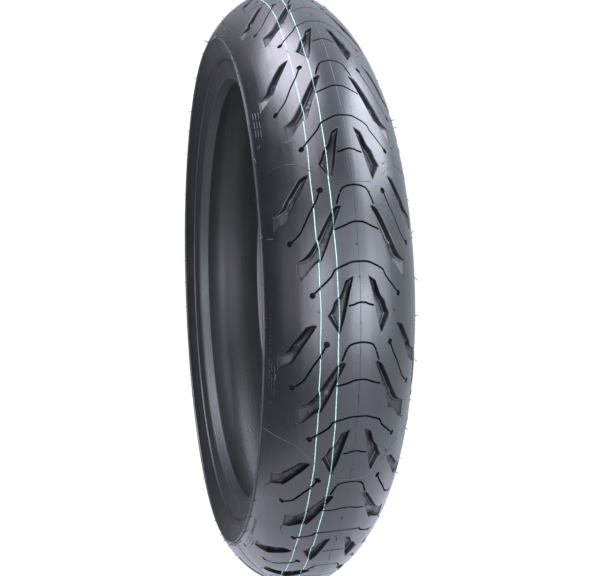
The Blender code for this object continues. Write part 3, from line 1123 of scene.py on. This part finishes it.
def build_hairs(sizes):
    """Thin hairs where air left the mould: at the groove ends, along the shoulder and the crown."""
    rng = np.random.default_rng(11)
    places, length = [], []
    for k in range(sizes.pitches):
        for across, along in (*VENTS, *((-s, v) for s, v in VENTS), *CENTRE_VENTS):
            places.append((across, pitch_start(k, sizes) + along + rng.uniform(-2.5, 2.5)))
            length.append(rng.uniform(1.6, 2.6) if abs(across) < 31 else rng.uniform(2.2, 5.0))
    places = np.array(places)
    direction = 0.75 * normal_at(places[:, 0], places[:, 1]) + rng.normal(0, 0.5, (len(places), 3))
    direction /= np.linalg.norm(direction, axis=1)[:, None]
    points = on_tyre(places[:, 0], places[:, 1], 0.2)
    mesh = new_mesh("vent_hairs", points)
    mesh.attributes.new("direction", "FLOAT_VECTOR", "POINT").data.foreach_set("vector", direction.ravel())
    mesh.attributes.new("length", "FLOAT", "POINT").data.foreach_set("value", np.array(length) * MM)
    made = new_object("vent_hairs", mesh)
    return baked(made, hair_tree(), {"Material": finishes()["tread"]})


# The stretches of the line round the crown, between the slots of one pitch
CROWN_LINES = ((0.9, 26.9), (28.9, 54.8), (56.8, 81.5), (83.7, 109.5))
# Half of the line where two mould sectors meet, from the shoulder in to the crown
SEAM = (
    ((-78.3, 31.2), (-62, 31.0), (-45, 31.9), (-37, 35.9), (-31, 40.9), (-26.0, 44.5)),
    ((-13.5, 52.6), (-7, 53.3), (0, 53.4)),
)


def line_on_tyre(points, edges, places, depth):
    """Adds one open line over these (across, along) places to the lists of points and edges."""
    first = len(points)
    places = np.array(places, float)
    points += list(on_tyre(places[:, 0], places[:, 1], depth))
    edges += [(first + i, first + i + 1) for i in range(len(places) - 1)]


def beads_of(name, points, edges, radius):
    """A raised bead along these lines."""
    made = new_object(name, new_mesh(name, points, edges=edges))
    return baked(made, bead_tree(), {"Radius": radius, "Sides": 6, "Material": finishes()["tread"]})


def build_seams(sizes):
    """The thin lines that the mould leaves: one round the crown, and one across at every other pitch."""
    points, edges = [], []
    for k in range(1 - sizes.pitches // 2, sizes.pitches // 2 + 2, 2):
        for half in SEAM:
            smooth = along_curve([(*p, 0) for p in half], 2.5, closed=False)[:, :2]
            for side in (1, -1):
                line_on_tyre(points, edges, smooth * [side, 1] + [0, pitch_start(k, sizes)], 0.02)
    for k in range(sizes.pitches):
        for begin, end in CROWN_LINES:
            line = [(-0.8, pitch_start(k, sizes) + u) for u in np.linspace(begin, end, 11)]
            line_on_tyre(points, edges, line, 0.08)
    return beads_of("mould_seams", points, edges, SEAM_RADIUS)


def build_marks(sizes):
    """Raised ticks, three rows of dashes and a small triangle on each shoulder, every second pitch."""
    points, edges = [], []
    for k in range(-(sizes.pitches // 2), sizes.pitches // 2 + 1, 2):
        at = pitch_start(k, sizes)
        for side in (-1, 1):
            for across, begin, end in ((72.0, 76, 104), (69.2, 78, 107), (66.2, 80, 110)):
                for u in np.arange(begin, end - 6, 9.5):
                    dash = [(side * across, at + u + w) for w in (0, 2.5, 5, 7.4)]
                    line_on_tyre(points, edges, dash, 0.05)
            for u in (38, 41, 44, 48, 52, 55.5, 59, 62, 66, 69):
                line_on_tyre(points, edges, [(side * 69.4, at + u), (side * 71.6, at + u + 0.4)], 0.05)
            corners = ((69.6, 112.2), (72.6, 112.2), (71.1, 116.4), (69.6, 112.2))
            line_on_tyre(points, edges, [(side * s, at + v) for s, v in corners], 0.05)
    return beads_of("shoulder_marks", points, edges, MARK_RADIUS)


# The stage

# Name, azimuth from the front towards the right, height, distance, size in metres, brightness, colour
SOFTBOXES = (
    ("overhead_left_softbox", -84, 65, 2.0, (1.45, 1.05), 8.6, "#f0edff"),
    ("left_front_softbox", -50, 44, 2.0, (0.8, 0.8), 3.6, "#eeeefa"),
    ("left_strip", -74, 2, 2.0, (0.3, 0.9), 1.9, "#eaedfb"),
    ("right_softbox", 65, 41, 2.2, (2.3, 1.2), 7.4, "#e7eefc"),
    ("front_wall", 0, 2, 1.8, (3.8, 1.9), 1.9, "#e7eefc"),
    ("front_softbox", 14, -5, 1.7, (1.0, 0.5), 7.0, "#e7eefc"),
    ("front_right_softbox", 48, 2, 1.8, (1.2, 0.9), 4.0, "#e7eefc"),
    ("front_left_softbox", -41, -1, 1.8, (1.0, 0.9), 4.4, "#eaedfb"),
)
FLOOR_HEIGHT = -0.5


def build_stage(scene):
    """The floor, the studio, its softboxes and the camera."""
    build_floor()
    scene.world = studio_world()
    for name, azimuth, height, distance, size, brightness, colour in SOFTBOXES:
        out = towards(math.radians(azimuth), math.radians(height))
        area_light(name, out * distance, size, brightness, colour)
    scene.camera = build_camera()
    scene.view_settings.view_transform = "Standard"
    scene.view_settings.look = "None"


def towards(azimuth, height):
    """The direction at this azimuth from the front towards the right, and this height."""
    out = math.cos(height)
    return Vector((out * math.cos(azimuth), out * math.sin(azimuth), math.sin(height)))


def build_floor():
    """A lit white table under the tyre. It stands clear of it, and the camera sees only its light."""
    corners = ((-0.5, -0.5), (2.5, -0.5), (2.5, 0.55), (-0.5, 0.55))
    floor = new_object("floor", new_mesh("floor", [(*c, FLOOR_HEIGHT) for c in corners], [(0, 1, 2, 3)]))
    made, _, shader, _ = finish("lit_white_table", "#808080", 0.9)
    shader.inputs["Emission Color"].default_value = (0.92, 0.97, 1.12, 1)
    shader.inputs["Emission Strength"].default_value = 0.8
    floor.data.materials.append(made)
    floor.visible_camera = False


def studio_world():
    """A pale studio round the tyre: brighter to the right, overhead and low down, and plain white
    where the camera sees it."""
    world = bpy.data.worlds.new("soft_studio")
    world.use_nodes = True
    tree = world.node_tree
    sky = tree.nodes["Background"]
    sky.inputs["Color"].default_value = (0.82, 0.9, 1, 1)
    way = add(tree, "ShaderNodeSeparateXYZ", {0: add(tree, "ShaderNodeTexCoord").outputs["Generated"]})
    parts = [
        add(
            tree,
            "ShaderNodeMapRange",
            {
                "Value": way.outputs[axis],
                "From Min": start,
                "From Max": end,
                "To Min": at_start,
                "To Max": at_end,
            },
        ).outputs[0]
        for axis, start, end, at_start, at_end in (
            ("Y", -0.6, 0.6, 0.14, 1.0),
            ("Z", 0.5, 0.95, 0.0, 0.9),
            ("Z", -0.2, -0.55, 0.0, 0.3),
        )
    ]
    upper = add(tree, "ShaderNodeMath", {0: parts[0], 1: parts[1]}, operation="ADD")
    whole = add(tree, "ShaderNodeMath", {0: upper.outputs[0], 1: parts[2]}, operation="ADD")
    tree.links.new(whole.outputs[0], sky.inputs["Strength"])
    seen = add(tree, "ShaderNodeBackground", {"Color": (1, 1, 1, 1), "Strength": 1.05})
    ray = add(tree, "ShaderNodeLightPath")
    mixed = add(
        tree,
        "ShaderNodeMixShader",
        {0: ray.outputs["Is Camera Ray"], 1: sky.outputs[0], 2: seen.outputs[0]},
    )
    tree.links.new(mixed.outputs[0], tree.nodes["World Output"].inputs["Surface"])
    return world


def area_light(name, place, size, brightness, colour):
    """A softbox that faces the wheel centre."""
    data = bpy.data.lights.new(name, "AREA")
    data.shape = "RECTANGLE"
    data.size, data.size_y = size
    data.energy = 4 * size[0] * size[1] * brightness
    data.color = linear(colour)
    made = bpy.data.objects.new(name, data)
    bpy.context.scene.collection.objects.link(made)
    made.location = place
    made.rotation_mode = "QUATERNION"
    made.rotation_quaternion = (-place).to_track_quat("-Z", "Y")


def build_camera():
    """Stands to the left of the front, about level with the wheel centre, and looks a little to its
    right, very slightly rolled."""
    at = towards(math.radians(-12.458), math.radians(1.754)) * 0.80298
    back = towards(math.radians(-14.960), math.radians(1.757))
    roll = math.radians(-1.376)
    right = Vector((0, 0, 1)).cross(back).normalized()
    up = back.cross(right)
    right, up = (
        right * math.cos(roll) + up * math.sin(roll),
        up * math.cos(roll) - right * math.sin(roll),
    )
    data = bpy.data.cameras.new("camera")
    data.sensor_width = 36
    data.lens = 44.676
    made = bpy.data.objects.new("camera", data)
    bpy.context.scene.collection.objects.link(made)
    place = Matrix((right, up, back)).transposed().to_4x4()
    place.translation = at
    made.matrix_world = place
    return made


# The operators


class TyreSizes(bpy.types.PropertyGroup):
    pitches: bpy.props.IntProperty(
        name="Pitches", description="How many times the pattern repeats round the wheel", default=17, min=3
    )
    groove_depth: bpy.props.FloatProperty(
        name="Groove depth", description="Depth of the pockets in the centre", default=0.0046, unit="LENGTH"
    )
    slot_width: bpy.props.FloatProperty(
        name="Slot width", description="Width of the thin slots", default=0.0015, unit="LENGTH"
    )
    marking_width: bpy.props.FloatProperty(
        name="Marking width", description="Width of each painted line", default=0.0006, unit="LENGTH"
    )
    parting_ridge: bpy.props.FloatProperty(
        name="Parting ridge",
        description="Height of the ridge between tread and side wall",
        default=0.0013,
        unit="LENGTH",
    )


class TyreLooks(bpy.types.PropertyGroup):
    marking_colour: bpy.props.FloatVectorProperty(
        name="Marking colour",
        description="Colour of the painted lines",
        subtype="COLOR",
        size=3,
        default=linear("#93b8a8"),
    )


class TYRE_OT_tread(bpy.types.Operator):
    """Makes the tread with its pockets, slots and pins, and closes it underneath"""

    bl_idname = "tyre.tread"
    bl_label = "Tread"

    def execute(self, context):
        made = build_tread(context.scene.tyre_sizes)
        put_on(made, "tread_rubber", "tread_cap_center", "tread_shoulder_left", "tread_shoulder_right")
        return {"FINISHED"}


class TYRE_OT_markings(bpy.types.Operator):
    """Paints the two coloured lines on the left half of the tread"""

    bl_idname = "tyre.markings"
    bl_label = "Marking Lines"

    def execute(self, context):
        sizes = context.scene.tyre_sizes
        tread = bpy.data.objects["tread"]
        for name, across, sway in (("inner", -16.8, 0.9), ("outer", -29.5, 1.1)):
            made = build_stripe("marking_line_" + name, across, sway, tread, sizes)
            put_on(made, "marking_paint", "marking_stripe_" + name)
        return {"FINISHED"}


class TYRE_OT_walls(bpy.types.Operator):
    """Makes both side walls with the parting ridge"""

    bl_idname = "tyre.walls"
    bl_label = "Side Walls"

    def execute(self, context):
        section = wall_section(context.scene.tyre_sizes)
        for side, drawn in (("right", section), ("left", mirror(section))):
            made = turned("side_wall_" + side, drawn, finishes()["wall"])
            put_on(made, "wall_rubber", "sidewall_" + side)
        return {"FINISHED"}


class TYRE_OT_beads(bpy.types.Operator):
    """Makes the beads: chafer rubber outside, filler and wire core inside"""

    bl_idname = "tyre.beads"
    bl_label = "Beads"

    def execute(self, context):
        section = chafer_section()
        for side, drawn in (("right", section), ("left", mirror(section))):
            made = turned("bead_chafer_" + side, drawn, finishes()["chafer"])
            put_on(made, "chafer_rubber", "chafer_" + side)
            for part, slot, look in (("filler", "filler_rubber", "filler"), ("core", "bead_wire", "core")):
                node = f"bead_{part}_{side}"
                put_on(turned(node + "_round", node_section(node), finishes()[look]), slot, node)
        return {"FINISHED"}


class TYRE_OT_carcass(bpy.types.Operator):
    """Makes the layers under the tread: base, belt, two plies and the inner liner"""

    bl_idname = "tyre.carcass"
    bl_label = "Carcass"

    def execute(self, context):
        for node, slot, look in (
            ("tread_base", "base_rubber", "base"),
            ("zero_degree_belt", "belt_cord", "belt"),
            ("carcass_ply_outer", "ply_cord", "ply"),
            ("carcass_ply_inner", "ply_cord", "ply"),
            ("inner_liner", "liner_rubber", "liner"),
        ):
            put_on(turned(node + "_round", node_section(node), finishes()[look]), slot, node)
        return {"FINISHED"}


class TYRE_OT_marks(bpy.types.Operator):
    """Makes what the mould leaves: vent hairs, seams, and the shoulders' ticks and dashes"""

    bl_idname = "tyre.marks"
    bl_label = "Mould Marks"

    def execute(self, context):
        sizes = context.scene.tyre_sizes
        put_on(build_hairs(sizes), "tread_rubber")
        put_on(build_seams(sizes), "tread_rubber")
        put_on(build_marks(sizes), "tread_rubber")
        return {"FINISHED"}


class TYRE_OT_stage(bpy.types.Operator):
    """Makes the pale floor, the soft lights and the camera"""

    bl_idname = "tyre.stage"
    bl_label = "Stage"

    def execute(self, context):
        build_stage(context.scene)
        return {"FINISHED"}


class TYRE_PT_panel(bpy.types.Panel):
    """Lists the steps that build the tyre"""

    bl_label = "Motorcycle Tyre"
    bl_idname = "TYRE_PT_panel"
    bl_space_type = "VIEW_3D"
    bl_region_type = "UI"
    bl_category = "Tyre"

    def draw(self, context):
        for group in (context.scene.tyre_sizes, context.scene.tyre_looks):
            for key in group.__annotations__:
                self.layout.prop(group, key)
        for operator in OPERATORS:
            self.layout.operator(operator.bl_idname)


OPERATORS = (
    TYRE_OT_carcass,
    TYRE_OT_beads,
    TYRE_OT_walls,
    TYRE_OT_tread,
    TYRE_OT_markings,
    TYRE_OT_marks,
    TYRE_OT_stage,
)
CLASSES = (TyreSizes, TyreLooks, *OPERATORS, TYRE_PT_panel)


def register():
    for made in CLASSES:
        bpy.utils.register_class(made)
    bpy.types.Scene.tyre_sizes = bpy.props.PointerProperty(type=TyreSizes)
    bpy.types.Scene.tyre_looks = bpy.props.PointerProperty(type=TyreLooks)


def unregister():
    del bpy.types.Scene.tyre_looks
    del bpy.types.Scene.tyre_sizes
    for made in reversed(CLASSES):
        bpy.utils.unregister_class(made)


def main():
    register()
    bpy.ops.tyre.carcass()
    bpy.ops.tyre.beads()
    bpy.ops.tyre.walls()
    bpy.ops.tyre.tread()
    bpy.ops.tyre.markings()
    bpy.ops.tyre.marks()
    bpy.ops.tyre.stage()


if __name__ == "__main__":
    main()
